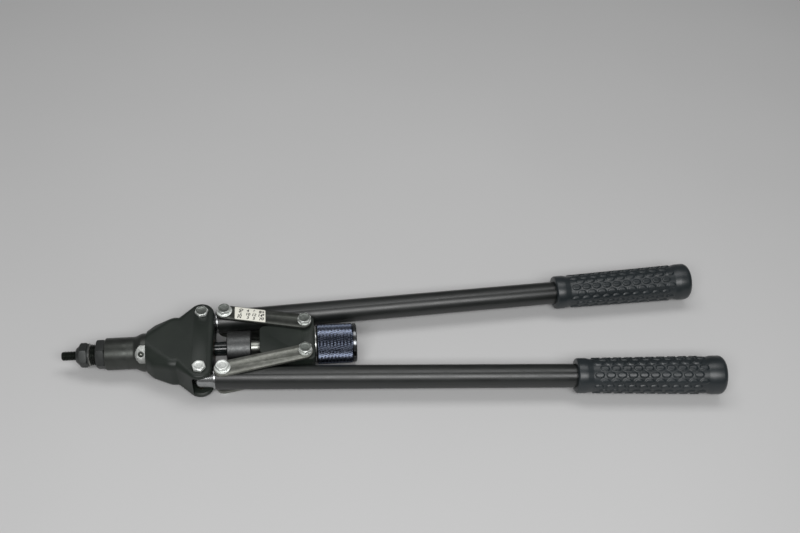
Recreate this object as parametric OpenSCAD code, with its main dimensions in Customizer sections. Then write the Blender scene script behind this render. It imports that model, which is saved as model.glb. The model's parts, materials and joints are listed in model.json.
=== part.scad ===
// Two-hand lever riveter for threaded inserts, at rest with its levers closed.
// Origin: on the tool's axis, at the front face of the nose piece. +X runs back along
// the axis towards the handles, +Z is up, and the left lever lies on the -Y side.

/* [Mandrel and nose] */
// Diameter of the mandrel over its thread
mandrel_d = 7.8; // [5:0.1:9]
// How far the mandrel stands out of the nose at rest
mandrel_reach = 12.1; // [8:0.1:25]
// Length of the cone at the front of the nose piece
nose_cone_l = 3.1; // [1.5:0.1:5]
// Length of the nose piece's hexagon
nose_hex_l = 6.4; // [4:0.1:12]
// Width across the flats of the nose piece's hexagon
nose_hex_af = 18; // [17:0.5:21]
// Length of the round collar behind the hexagon
nose_collar_l = 2.4; // [1:0.1:5]
// Diameter of the nose piece's thread
nose_thread_d = 17.5; // [15:0.1:17.6]
// Thread that shows between the collar and the lock nut
nose_thread_gap = 4.9; // [1:0.1:10]
// How far the nose piece can be screwed out for a longer insert
nose_adjust = 4; // [1:0.5:6]
// Thread that still holds in the barrel when the nose piece is screwed out
nose_engage = 12; // [8:0.5:14]
// Thickness of the lock nut
lock_nut_t = 7.2; // [4:0.1:10]
// Width across the flats of the lock nut
lock_nut_af = 22; // [21:0.5:26]

/* [Barrel] */
// Outer diameter of the barrel
barrel_d = 27; // [25:0.2:30]
// Length of the barrel, from the lock nut to the head
barrel_l = 34.4; // [30:0.5:60]
// Diameter of the barrel's rear collar
collar_d = 32; // [31:0.2:33]
// Length of the cylindrical part of that collar
collar_l = 3.5; // [2:0.1:6]
// Length over which the barrel flares out to the collar
flare_l = 7.6; // [5:0.1:12]
// Depth of the flat that is milled on the collar for its set screw
flat_depth = 1.8; // [0.8:0.1:2]
// Turn of that flat about the axis, from straight up
flat_turn = 45; // [0:5:90]
// Diameter of the set screw
set_screw_d = 4.2; // [3:0.1:5]
// Distance from the set screw to the head
set_screw_inset = 3.9; // [3:0.1:6]

/* [Head] */
// Length of the head, from its front face to the lever pivots
head_l = 44.6; // [42:0.1:60]
// Thickness of the head over both cheeks, at the lever pivots
head_t = 29.2; // [28.6:0.1:30]
// Thickness of one cheek beside the lever slot
cheek_t = 5; // [4:0.1:5.4]
// Distance between the two lever pivots
pivot_spacing = 58.4; // [56:0.2:66]
// Radius of the head around a lever pivot
lobe_r = 10.7; // [10.6:0.1:11]
// Step from the barrel's collar out to the head's front edge
head_step = 1; // [0.6:0.1:1.6]
// Half width of the head at its waist
waist_w = 27.2; // [26.6:0.2:29]
// Diameter of the spigot that carries the barrel
spigot_d = 24; // [22:0.2:24.6]
// Length of that spigot
spigot_l = 9.5; // [8:0.5:12]
// Length of the bronze guide bush
guide_bush_l = 16; // [8:1:25]

/* [Levers] */
// Outer diameter of a lever tube
tube_d = 20; // [18:0.2:20]
// Wall of a lever tube
tube_wall = 1.8; // [1.8:0.1:3]
// Length of a lever, from its pivot to the end of the grip
lever_l = 439.2; // [300:1:600]
// Outward slant of a lever at rest
lever_splay = 3.2; // [3:0.1:6]
// How far a lever opens from rest
open_angle = 45; // [20:1:50]
// Distance from the lever pivot to the link bolt
link_arm = 19; // [18.4:0.1:22]
// Length of the solid bar inside the tube
bar_l = 62; // [45:1:100]
// Distance from the lever pivot to the front end of the tube
tube_start = 12.8; // [12.2:0.1:13]

/* [Grips] */
// Length of a grip
grip_l = 126.5; // [90:0.5:160]
// Diameter of a grip at its front end
grip_front_d = 29.4; // [26:0.2:31]
// Diameter of a grip at its rear end
grip_rear_d = 32.8; // [30:0.2:33]
// Rubber behind the end of the tube
grip_end_wall = 4; // [2:0.5:8]
// Radius of the rear edge of a grip
grip_round = 4.5; // [1:0.5:6]
// Smooth band in front of the bumps
grip_front_band = 12.8; // [6:0.1:20]
// Least smooth band behind the bumps
grip_rear_band = 15.5; // [8:0.1:24]
// Depth of the grooves between the bumps
bump_depth = 1; // [0.4:0.1:1.2]
// Length of a bump
bump_l = 8.2; // [5:0.1:8.6]
// Width of a bump
bump_w = 5; // [3:0.1:5.2]
// Distance between the bumps of a row
bump_pitch = 9.3; // [8.8:0.1:14]
// Rows of bumps around a grip
bump_rows = 16; // [8:2:16]
// Turn of the left grip's first row, from straight up towards the left
left_grip_turn = 35.6; // [0:0.1:45]
// Turn of the right grip's first row, from straight up towards the left
right_grip_turn = 28; // [0:0.1:45]

/* [Links and crosshead] */
// Distance between the two bolts of a link
link_l = 69.4; // [66:0.2:80]
// Width of a link
link_w = 14.6; // [13:0.1:15]
// Thickness of a link
link_t = 2.5; // [2:0.1:3.5]
// Distance between the two crosshead bolts
pin_spacing = 32; // [31:0.2:34]
// Length of the crosshead
crosshead_l = 45.9; // [38:0.5:47]
// Width of the crosshead at its front
crosshead_front_w = 29; // [28:0.5:34]
// Width of the crosshead at its rear
crosshead_rear_w = 46; // [44:0.5:47]
// Radius of the crosshead's corners
crosshead_corner = 4; // [2:0.5:6]
// Distance from the crosshead bolts to the crosshead's rear face
pin_inset = 7.9; // [7:0.1:12]
// Length of the number plate on the right link
plate_l = 26.6; // [10:0.2:34]

/* [Spindle] */
// Diameter of the pull rod
rod_d = 12; // [10:0.2:12.4]
// Diameter of the stroke sleeve
sleeve_d = 28.6; // [22:0.2:32]
// Rod that shows between the stroke sleeve and the crosshead
rod_gap = 7.3; // [3:0.1:12]
// Diameter of the adapter between the mandrel and the rod
adapter_d = 16.8; // [16:0.1:16.9]
// Length of that adapter
adapter_l = 20; // [18:0.5:22]
// Diameter of the thrust washer
thrust_d = 31; // [24:0.2:33]
// Thickness of the thrust washer
thrust_t = 1.3; // [0.8:0.1:3]
// Diameter of the knob over its knurl
knob_d = 33.6; // [30:0.2:34]
// Length of the knob
knob_l = 34; // [26:0.5:50]

/* [Fasteners] */
// Diameter of the pivot and link bolts
bolt_d = 6; // [5:0.1:6.4]
// Width across the flats of the bolt heads and nuts
hex_af = 10; // [9:0.1:11]
// Height of the hexagon of a link or crosshead bolt
hex_h = 3.5; // [3:0.1:5]
// Height of a link or crosshead nut
nut_h = 3.5; // [3:0.1:3.6]
// Height of a pivot bolt's low hexagon
pivot_hex_h = 2.9; // [2.4:0.1:3.4]
// Height of a pivot bolt's thin nut
pivot_nut_h = 2.4; // [2:0.1:2.4]
// Diameter of the flange under a link bolt's head
flange_d = 13.4; // [12:0.1:14]
// Thickness of that flange
flange_t = 1.2; // [0.8:0.1:2]
// Thickness of the spring washers at the crosshead
spring_washer_t = 1.4; // [1:0.1:2]

/* [Fits] */
// Radial clearance of a shaft that turns or slides in a bore
run_gap = 0.05; // [0.02:0.01:0.1]
// Radial clearance of pieces that are screwed or pressed together
fixed_gap = 0.02; // [0.01:0.01:0.04]
// Clearance between faces that slide past each other
side_gap = 0.3; // [0.2:0.05:0.5]
// Gap behind the lock nut
face_gap = 0.05; // [0.02:0.01:0.2]

/* [Hidden] */

LEFT = -1;
RIGHT = 1;
ROUND = 96;

// Radii
mandrel_r = mandrel_d / 2;
nose_thread_r = nose_thread_d / 2;
rod_r = rod_d / 2;
bolt_r = bolt_d / 2;
tube_r = tube_d / 2;
adapter_r = adapter_d / 2;
spigot_r = spigot_d / 2;
collar_r = collar_d / 2;
head_front_r = collar_r + head_step;
shank_r = mandrel_r - 0.3;
bush_wall = 2.5;
rod_bush_r = rod_r + bush_wall;
lever_bush_r = bolt_r + 1.5;
bar_r = tube_r - tube_wall - fixed_gap;

// Stations along the axis, from the nose to the head
x_hex = nose_cone_l;
x_collar = x_hex + nose_hex_l;
x_thread = x_collar + nose_collar_l;
x_nut = x_thread + nose_thread_gap;
x_barrel = x_nut + lock_nut_t;
x_nose_end = x_barrel + nose_engage + nose_adjust;
x_joint = x_barrel + barrel_l;
x_spigot = x_joint - spigot_l;
x_pivot = x_joint + head_l;
x_head_rear = x_pivot + lobe_r;

// The lever, link and crosshead triangle, for a lever turned out by a
pivot_y = pivot_spacing / 2;
pin_y = pin_spacing / 2;
function link_bolt(a) = [x_pivot + link_arm * cos(a), pivot_y + link_arm * sin(a)];
function link_slant(a) = asin((link_bolt(a).y - pin_y) / link_l);
function pin_x(a) = link_bolt(a).x + link_l * cos(link_slant(a));
open_splay = lever_splay + open_angle;
link_rest = link_slant(lever_splay);
link_turn = link_slant(open_splay) - link_rest;
x_pin = pin_x(lever_splay);
travel = x_pin - pin_x(open_splay);

// Where a crosshead bolt lies from its place in the crosshead, when the link and the
// crosshead both follow the lever at a constant ratio
function swept(t) = [
    link_bolt(lever_splay + t * open_angle).x + link_l * cos(link_rest + t * link_turn)
        - (x_pin - t * travel),
    link_bolt(lever_splay + t * open_angle).y - link_l * sin(link_rest + t * link_turn) - pin_y
];
steps = [0:0.05:1];
slack_back = max([for (t = steps) swept(t).x]) + side_gap;
slack_front = -min([for (t = steps) swept(t).x]) + side_gap;
slack_side = max([for (t = steps) abs(swept(t).y)]) + side_gap;

// Stations of the crosshead and the spindle
x_cross_rear = x_pin + pin_inset;
x_cross_front = x_cross_rear - crosshead_l;
x_sleeve = x_head_rear + travel + side_gap;
x_sleeve_end = x_cross_front - rod_gap;
x_adapter = x_nose_end + travel + 1.5;
x_adapter_end = x_adapter + adapter_l;
adapter_grip = 8;
x_bore_end = x_adapter_end + 1.5;
x_bush = x_head_rear - guide_bush_l;
x_washer = x_cross_rear + side_gap;
x_knob = x_washer + thrust_t;
x_knob_end = x_knob + knob_l;
knob_recess = 5;
knob_web = 3;
x_rod_end = x_knob_end - knob_recess - knob_web;
clip_t = 1.2;
clip_depth = 0.6;
clip_pocket = 3;
x_clip = x_cross_front + (clip_pocket - clip_t) / 2;

// Heights
slot_h = head_t - 2 * cheek_t;
z_link = tube_r + side_gap;
z_link_top = z_link + link_t;
z_head = head_t / 2;
spot_depth = 0.35;
z_spot = z_head - spot_depth;
spot_r = hex_af / sqrt(3) + 0.6;
head_taper = atan((head_front_r - z_head) / head_l);
function head_z(x) = head_front_r - (x - x_joint) * tan(head_taper);
plate_t = 0.2;

// Lever stations
grip_start = lever_l - grip_l;
tube_end = lever_l - grip_end_wall;
grip_lip = 1.2;
x_bumps = grip_start + grip_front_band;
bump_count = floor((grip_l - grip_front_band - grip_rear_band) / bump_pitch - 0.5);
bump_ramp = 5;
function grip_r(x) = lookup(x, [
    [grip_start + grip_lip, grip_front_d / 2], [lever_l - grip_round, grip_rear_d / 2]]);
slot_r = lobe_r - 1.2;
bar_tip = lever_bush_r + 1.2;
end_shift = 1.2;

// A solid of revolution about the tool's axis; its profile holds [radius, x] points
module turned(profile) {
    rotate([0, 90, 0]) rotate_extrude($fn = ROUND) polygon(profile);
}

// Outer edge of a disc or tube with a chamfer at each end
function edge(r, x0, x1, c0, c1) = concat(
    c0 > 0 ? [[r - c0, x0], [r, x0 + c0]] : [[r, x0]],
    c1 > 0 ? [[r, x1 - c1], [r - c1, x1]] : [[r, x1]]
);

module disc(r, x0, x1, c0 = 0.5, c1 = 0.5) {
    turned(concat([[0, x0]], edge(r, x0, x1, c0, c1), [[0, x1]]));
}

module collar(r_in, r_out, x0, x1, c0 = 0.5, c1 = 0.5) {
    turned(concat([[r_in, x0]], edge(r_out, x0, x1, c0, c1), [[r_in, x1]]));
}

// A plain bore along the tool's axis
module bore_x(r, x0, x1) {
    translate([x0, 0, 0]) rotate([0, 90, 0]) cylinder(r = r, h = x1 - x0, $fn = ROUND);
}

// A hexagon along the tool's axis, with its corners chamfered at both ends
module hex_x(af, x0, x1, chamfer, turn) {
    corner = af / sqrt(3);
    intersection() {
        translate([x0, 0, 0]) rotate([0, 90, 0]) rotate([0, 0, turn])
            cylinder(r = corner, h = x1 - x0, $fn = 6);
        disc(corner + 0.01, x0, x1, chamfer, chamfer);
    }
}

// A hexagon with its outer corners chamfered, from z = 0 to h
module hex_z(h) {
    corner = hex_af / sqrt(3);
    chamfer = 0.7;
    intersection() {
        cylinder(r = corner, h = h, $fn = 6);
        rotate_extrude($fn = ROUND)
            polygon([[0, 0], [corner + 0.01, 0], [corner + 0.01, h - chamfer],
                     [corner - chamfer, h], [0, h]]);
    }
}

// A plate whose corners are rounded to r about the given centres, listed anticlockwise
module round_plate(centres, r, h) {
    n = len(centres);
    linear_extrude(h) union() {
        for (c = centres) translate(c) circle(r = r, $fn = ROUND);
        polygon([for (i = [0:n - 1])
            let (a = centres[i], b = centres[(i + 1) % n], d = (b - a) / norm(b - a))
            for (p = [a, b]) p + r * [d.y, -d.x]]);
    }
}

// Places its children in the frame of one lever: origin at the pivot, +X along the lever
module lever_frame(side) {
    mirror([0, side < 0 ? 1 : 0, 0]) translate([x_pivot, pivot_y, 0])
        rotate([0, 0, lever_splay]) children();
}

// Places its children in the frame of one link: origin at the link bolt, +X along the link
module link_frame(side) {
    p = link_bolt(lever_splay);
    mirror([0, side < 0 ? 1 : 0, 0]) translate([p.x, p.y, 0])
        rotate([0, 0, -link_rest]) children();
}

// A disc with rounded rims whose faces, at height h above and below the axis, lean
// towards each other to the rear by the given tilt
module pill(x, y, r, rim, h, tilt) {
    quarter = [for (a = [0:22.5:90]) [r - rim + rim * sin(a), rim * cos(a) - rim]];
    for (s = [-1, 1]) mirror([0, 0, s < 0 ? 1 : 0]) translate([x, y, h]) rotate([0, tilt, 0])
        rotate_extrude($fn = 32) polygon(concat([[0, 0]], quarter, [[0, -rim]]));
}

// The head's outer form: a round front that widens into two lobes around the pivots,
// between two faces that taper to the rear
module head_blank() {
    shoulder_r = 8;
    x_shoulder = x_joint + shoulder_r + 1.2;
    shoulder_w = waist_w - 4.6;
    shoulder_z = z_head - 0.7;
    waist_r = 12.2;
    x_waist = x_joint + 0.53 * head_l;
    hip_r = 10;
    x_hip = x_joint + 0.68 * head_l;
    hull() {
        translate([x_joint, 0, 0]) rotate([0, 90, 0])
            cylinder(r = head_front_r, h = 0.1, $fn = 48);
        for (s = [LEFT, RIGHT]) {
            pill(x_shoulder, s * (shoulder_w - shoulder_r), shoulder_r, shoulder_r, shoulder_z, 0);
            pill(x_waist, s * (waist_w - waist_r), waist_r, 7, head_z(x_waist), head_taper);
        }
    }
    hull() {
        for (s = [LEFT, RIGHT]) {
            pill(x_hip, s * (waist_w - hip_r), hip_r, 6, head_z(x_hip), head_taper);
            pill(x_pivot, s * pivot_y, lobe_r, 2.6, z_head, head_taper);
        }
    }
}

// The slot between the cheeks, open to the rear and to the outside
module lever_slot(side) {
    open = 6;
    mirror([0, side < 0 ? 1 : 0, 0]) translate([x_pivot, pivot_y, -slot_h / 2])
        linear_extrude(slot_h) union() {
            circle(r = slot_r, $fn = ROUND);
            translate([0, -slot_r]) square([lobe_r + 1, 2 * slot_r]);
            translate([-open, 0]) square([open + lobe_r + 1, lobe_r + 2]);
        }
}

module head_body() {
    color("#23282a") difference() {
        union() {
            head_blank();
            bore_x(spigot_r, x_spigot, x_joint + 1);
        }
        bore_x(adapter_r + run_gap, x_spigot - 1, x_bore_end);
        bore_x(rod_r + 0.5, x_bore_end - 1, x_bush + 1);
        bore_x(rod_bush_r + fixed_gap, x_bush, x_head_rear + 1);
        for (s = [LEFT, RIGHT]) {
            lever_slot(s);
            translate([x_pivot, s * pivot_y, 0]) {
                translate([0, 0, -z_head - 1])
                    cylinder(r = bolt_r + fixed_gap, h = head_t + 2, $fn = ROUND);
                for (z = [-z_spot - 2, z_spot])
                    translate([0, 0, z]) cylinder(r = spot_r, h = 2, $fn = ROUND);
            }
        }
    }
}

// Places its children with +Z along the barrel's set screw, above the axis
module at_set_screw() {
    translate([x_joint - set_screw_inset, 0, 0]) rotate([flat_turn, 0, 0]) children();
}

module barrel() {
    x_flare = x_joint - collar_l - flare_l;
    r = barrel_d / 2;
    flare = [for (a = [0:15:180])
        [r + (collar_r - r) * (1 - cos(a)) / 2, x_flare + flare_l * a / 180]];
    bore_r = max(nose_thread_r, adapter_r) + run_gap;
    color("#4a4f51") difference() {
        turned(concat([[bore_r, x_barrel], [r - 0.8, x_barrel], [r, x_barrel + 0.8]],
                      flare, [[collar_r, x_joint], [spigot_r + fixed_gap, x_joint],
                      [spigot_r + fixed_gap, x_spigot], [bore_r, x_spigot]]));
        at_set_screw() {
            translate([-30, -collar_d / 2, collar_r - flat_depth])
                cube([60, collar_d, collar_d]);
            translate([0, 0, spigot_r - 1])
                cylinder(d = set_screw_d + 2 * fixed_gap, h = collar_r, $fn = ROUND);
        }
    }
}

module barrel_set_screw() {
    top = collar_r - flat_depth - 0.6;
    color("#303030") at_set_screw() difference() {
        translate([0, 0, spigot_r]) cylinder(d = set_screw_d, h = top - spigot_r, $fn = ROUND);
        translate([0, 0, top - 1.5]) cylinder(d = 0.55 * set_screw_d, h = 2, $fn = 6);
    }
}

module lock_nut() {
    color("#3b3f40") difference() {
        hex_x(lock_nut_af, x_nut, x_barrel - face_gap, 1, 26);
        bore_x(nose_thread_r + run_gap, x_nut - 1, x_barrel + 1);
    }
}

module guide_bush() {
    color("#a9814a") collar(rod_r + run_gap, rod_bush_r, x_bush, x_head_rear, 0.4, 0.4);
}

module head_pivot_bolts() {
    length = 2 * z_spot + pivot_nut_h;
    color("#c9cccb") for (s = [LEFT, RIGHT]) translate([x_pivot, s * pivot_y, 0]) union() {
        translate([0, 0, z_spot]) rotate([0, 0, 12 * s]) hex_z(pivot_hex_h);
        translate([0, 0, z_spot - length]) cylinder(r = bolt_r, h = length, $fn = ROUND);
    }
}

module head_pivot_nuts() {
    color("#bfc3c3") for (s = [LEFT, RIGHT]) translate([x_pivot, s * pivot_y, -z_spot])
        nut(pivot_nut_h);
}

// A nut of height h that hangs below z = 0
module nut(h) {
    difference() {
        mirror([0, 0, 1]) hex_z(h);
        translate([0, 0, -h - 1]) cylinder(r = bolt_r + fixed_gap, h = h + 2, $fn = ROUND);
    }
}

module nose_piece() {
    collar_r_out = nose_hex_af / 2 + 0.6;
    cone_r = mandrel_r + 2.2;
    color("#33383a") difference() {
        union() {
            turned([[0, 0], [cone_r, 0], [nose_hex_af / 2 - 0.3, x_hex], [0, x_hex]]);
            hex_x(nose_hex_af, x_hex, x_collar, 0.9, 13);
            disc(collar_r_out, x_collar, x_thread, 0.3, 0.5);
            disc(nose_thread_r, x_thread, x_nose_end, 0, 1);
        }
        bore_x(mandrel_r + run_gap, -1, x_nose_end + 1);
    }
}

module mandrel() {
    color("#3a3d3c") union() {
        disc(mandrel_r, -mandrel_reach, 0, 0.8, 0);
        bore_x(shank_r, 0, x_adapter + 12);
    }
}

module mandrel_adapter() {
    color("#5b5f61") difference() {
        disc(adapter_r, x_adapter, x_adapter_end, 0.8, 0.8);
        bore_x(shank_r + fixed_gap, x_adapter - 1, x_adapter + 12);
        bore_x(rod_r + fixed_gap, x_adapter_end - adapter_grip, x_adapter_end + 1);
    }
}

module pull_rod() {
    screw_depth = 14;
    color("#c3c7c8") difference() {
        disc(rod_r, x_adapter_end - adapter_grip, x_rod_end, 0.5, 0.5);
        collar(rod_r - clip_depth, rod_r + 1, x_clip, x_clip + clip_t, 0, 0);
        bore_x(bolt_r + fixed_gap, x_rod_end - screw_depth, x_rod_end + 1);
    }
}

module stroke_sleeve() {
    color("#4c4f51") collar(rod_r + fixed_gap, sleeve_d / 2, x_sleeve, x_sleeve_end, 0.8, 0.8);
}

module rod_circlip() {
    color("#2e2e30")
        collar(rod_r - clip_depth + fixed_gap, rod_r + 2.2, x_clip + fixed_gap,
               x_clip + clip_t - fixed_gap, 0.2, 0.2);
}

module thrust_washer() {
    color("#d2d4d4") collar(rod_r + fixed_gap, thrust_d / 2, x_washer, x_knob, 0.3, 0.3);
}

module knurled_knob() {
    r = knob_d / 2;
    band = 3.5;
    groove = 0.8;
    x_band = x_knob_end - band;
    color("#1f2430") turned([
        [rod_r + fixed_gap, x_knob], [r - 1.6, x_knob], [r, x_knob + 1.6],
        [r, x_band - groove], [r - groove, x_band], [r - 0.2, x_band + 0.6],
        [r - 0.2, x_knob_end - 1.8], [r - 2, x_knob_end], [6.5, x_knob_end],
        [6.5, x_knob_end - knob_recess], [bolt_r + 0.2, x_knob_end - knob_recess],
        [bolt_r + 0.2, x_rod_end], [rod_r + fixed_gap, x_rod_end]
    ]);
}

module knob_screw() {
    x_seat = x_knob_end - knob_recess;
    color("#8c8f90") difference() {
        union() {
            bore_x(bolt_r, x_rod_end - 12, x_seat + 0.5);
            disc(bolt_r + 2, x_seat, x_seat + 4, 0, 0.5);
        }
        translate([x_seat + 2, 0, 0]) rotate([0, 90, 0]) cylinder(d = bolt_d - 0.6, h = 3, $fn = 6);
    }
}

// A hole for one crosshead bolt, long enough for the whole swing of its link
module pin_slot(side) {
    r = bolt_r + slack_side;
    length = max(0, slack_back + slack_front - 2 * slack_side);
    x0 = x_pin - slack_front + slack_side;
    translate([0, side * pin_y, -tube_r - 1]) linear_extrude(tube_d + 2) union() {
        for (x = [x0, x0 + length]) translate([x, 0]) circle(r = r, $fn = ROUND);
        translate([x0, -r]) square([length, 2 * r]);
    }
}

module crosshead() {
    c = crosshead_corner;
    front = crosshead_front_w / 2 - c;
    rear = crosshead_rear_w / 2 - c;
    color("#2a2c2c") difference() {
        translate([0, 0, -tube_r])
            round_plate([[x_cross_front + c, -front], [x_cross_rear - c, -rear],
                         [x_cross_rear - c, rear], [x_cross_front + c, front]], c, tube_d);
        bore_x(rod_bush_r + fixed_gap, x_cross_front - 1, x_cross_rear + 1);
        for (s = [LEFT, RIGHT]) pin_slot(s);
    }
}

module crosshead_bush() {
    color("#a9814a")
        collar(rod_r + run_gap, rod_bush_r, x_cross_front + clip_pocket, x_cross_rear, 0.4, 0.4);
}

// The solid bar that turns between the cheeks and carries the tube
module lever_bar(side) {
    tip_r = min(7, bar_r - 0.5);
    shoulder_x = lobe_r + side_gap;
    tip = [for (a = [0:15:90])
        [bar_r - tip_r + tip_r * sin(a), -bar_tip + tip_r * (1 - cos(a))]];
    color("#cfd2d2") lever_frame(side) difference() {
        turned(concat([[0, -bar_tip]], tip,
                      [[bar_r, shoulder_x], [tube_r - 0.5, shoulder_x + 0.2],
                       [tube_r - 0.5, tube_start], [bar_r, tube_start],
                       [bar_r, bar_l - 1], [bar_r - 1, bar_l], [0, bar_l]]));
        translate([0, 0, -tube_r]) cylinder(r = lever_bush_r + fixed_gap, h = tube_d, $fn = ROUND);
        translate([link_arm, 0, -tube_r]) cylinder(r = bolt_r + fixed_gap, h = tube_d, $fn = ROUND);
    }
}

module lever_bush(side) {
    h = slot_h - 2 * side_gap;
    color("#a9814a") lever_frame(side) translate([0, 0, -h / 2]) difference() {
        cylinder(r = lever_bush_r, h = h, $fn = ROUND);
        translate([0, 0, -1]) cylinder(r = bolt_r + run_gap, h = h + 2, $fn = ROUND);
    }
}

module lever_tube(side) {
    color("#2c2f30") lever_frame(side) difference() {
        collar(bar_r + fixed_gap, tube_r, tube_start, tube_end, 0.4, 0.4);
        translate([link_arm, 0, -tube_r - 1])
            cylinder(r = bolt_r + fixed_gap, h = tube_d + 2, $fn = ROUND);
    }
}

// One bump of a grip: an elongated hexagon that stands on the grooves' floor, with the
// edges of its flat top at the grip's radius
module grip_bump(x) {
    end = bump_w / 3;
    l = bump_l / 2;
    w = bump_w / 2;
    top = sqrt(grip_r(x) ^ 2 - w ^ 2);
    foot = grip_r(x) - bump_depth - 1;
    translate([x, 0, foot]) linear_extrude(top - foot)
        polygon([[-l, 0], [end - l, -w], [l - end, -w], [l, 0], [l - end, w], [end - l, w]]);
}

module grip(side) {
    r1 = grip_rear_d / 2;
    x_floor = x_bumps + (bump_count + 0.5) * bump_pitch;
    rear = [for (a = [0:15:90])
        [r1 - grip_round * (1 - cos(a)), lever_l - grip_round * (1 - sin(a))]];
    floor_line = [for (e = [[x_bumps - bump_ramp, 0], [x_bumps, bump_depth],
                            [x_floor, bump_depth], [x_floor + bump_ramp, 0]])
        [grip_r(e[0]) - e[1], e[0]]];
    color("#17191a") lever_frame(side) difference() {
        union() {
            turned(concat([[0, grip_start], [grip_front_d / 2 - grip_lip, grip_start],
                           [grip_front_d / 2, grip_start + grip_lip]],
                          floor_line, rear, [[0, lever_l]]));
            for (row = [0:bump_rows - 1], i = [0:bump_count - 1])
                rotate([side * (side < 0 ? left_grip_turn : right_grip_turn)
                        + 360 * row / bump_rows, 0, 0])
                    grip_bump(x_bumps + (i + (row % 2 == 0 ? 0.5 : 1)) * bump_pitch);
        }
        bore_x(tube_r + fixed_gap, grip_start - 1, tube_end);
    }
}

// The bolt that joins a lever to its two links
module link_bolt_piece(side) {
    seat = z_link_top + side_gap;
    color("#cdd0cf") lever_frame(side) translate([link_arm, 0, 0]) union() {
        translate([0, 0, seat]) cylinder(d = flange_d, h = flange_t, $fn = ROUND);
        translate([0, 0, seat + flange_t]) hex_z(hex_h);
        translate([0, 0, -seat - nut_h]) cylinder(r = bolt_r, h = 2 * seat + nut_h, $fn = ROUND);
    }
}

module link_nut(side) {
    color("#bfc3c3") lever_frame(side) translate([link_arm, 0, -z_link_top - side_gap]) nut(nut_h);
}

// One link plate, with its lower face at z
module link_plate(side, z) {
    r = link_w / 2;
    color("#8f9494") link_frame(side) translate([0, 0, z]) difference() {
        round_plate([[0, 0], [link_l - end_shift, 0]], r, link_t);
        for (x = [0, link_l])
            translate([x, 0, -1])
                cylinder(r = bolt_r + (x == 0 ? run_gap : fixed_gap), h = link_t + 2, $fn = ROUND);
    }
}

module crosshead_bolt(side) {
    seat = z_link_top + spring_washer_t;
    color("#cdd0cf") link_frame(side) translate([link_l, 0, 0]) union() {
        translate([0, 0, seat]) hex_z(hex_h);
        translate([0, 0, -z_link_top - nut_h])
            cylinder(r = bolt_r, h = seat + z_link_top + nut_h, $fn = ROUND);
    }
}

module crosshead_nut(side) {
    color("#bfc3c3") link_frame(side) translate([link_l, 0, -z_link_top]) nut(nut_h);
}

// A split ring under the head of a crosshead bolt
module spring_washer(side) {
    color("#d5d6d4") link_frame(side) translate([link_l, 0, z_link_top]) difference() {
        cylinder(r = bolt_r + 2.7, h = spring_washer_t, $fn = ROUND);
        translate([0, 0, -1]) cylinder(r = bolt_r + fixed_gap, h = spring_washer_t + 2, $fn = ROUND);
        rotate([0, 0, 70]) translate([bolt_r - 1, -0.4, -1]) cube([5, 0.8, spring_washer_t + 2]);
    }
}

// The number plate, laid on the right link between its bolts
module link_number_plate() {
    start = flange_d / 2 + 2.4;
    w = link_w - 1.4;
    color("#e6e4da") link_frame(RIGHT) translate([start, -w / 2, z_link_top])
        cube([plate_l, w, plate_t]);
}

head_body();
barrel();
barrel_set_screw();
lock_nut();
guide_bush();
head_pivot_bolts();
head_pivot_nuts();
nose_piece();
mandrel();
mandrel_adapter();
pull_rod();
stroke_sleeve();
rod_circlip();
thrust_washer();
knurled_knob();
knob_screw();
crosshead();
crosshead_bush();
lever_bar(LEFT);  // left_lever_bar
lever_bush(LEFT);  // left_lever_bush
lever_tube(LEFT);  // left_lever_tube
grip(LEFT);  // left_grip
link_bolt_piece(LEFT);  // left_link_bolt
link_nut(LEFT);  // left_link_nut
lever_bar(RIGHT);  // right_lever_bar
lever_bush(RIGHT);  // right_lever_bush
lever_tube(RIGHT);  // right_lever_tube
grip(RIGHT);  // right_grip
link_bolt_piece(RIGHT);  // right_link_bolt
link_nut(RIGHT);  // right_link_nut
link_plate(LEFT, z_link);  // left_link_top
link_plate(LEFT, -z_link_top);  // left_link_bottom
crosshead_bolt(LEFT);  // left_crosshead_bolt
crosshead_nut(LEFT);  // left_crosshead_nut
spring_washer(LEFT);  // left_spring_washer
link_plate(RIGHT, z_link);  // right_link_top
link_plate(RIGHT, -z_link_top);  // right_link_bottom
crosshead_bolt(RIGHT);  // right_crosshead_bolt
crosshead_nut(RIGHT);  // right_crosshead_nut
spring_washer(RIGHT);  // right_spring_washer
link_number_plate();  // right_link_plate
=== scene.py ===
import json
import math

import bmesh
import bpy
from mathutils import Matrix, Vector

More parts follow.
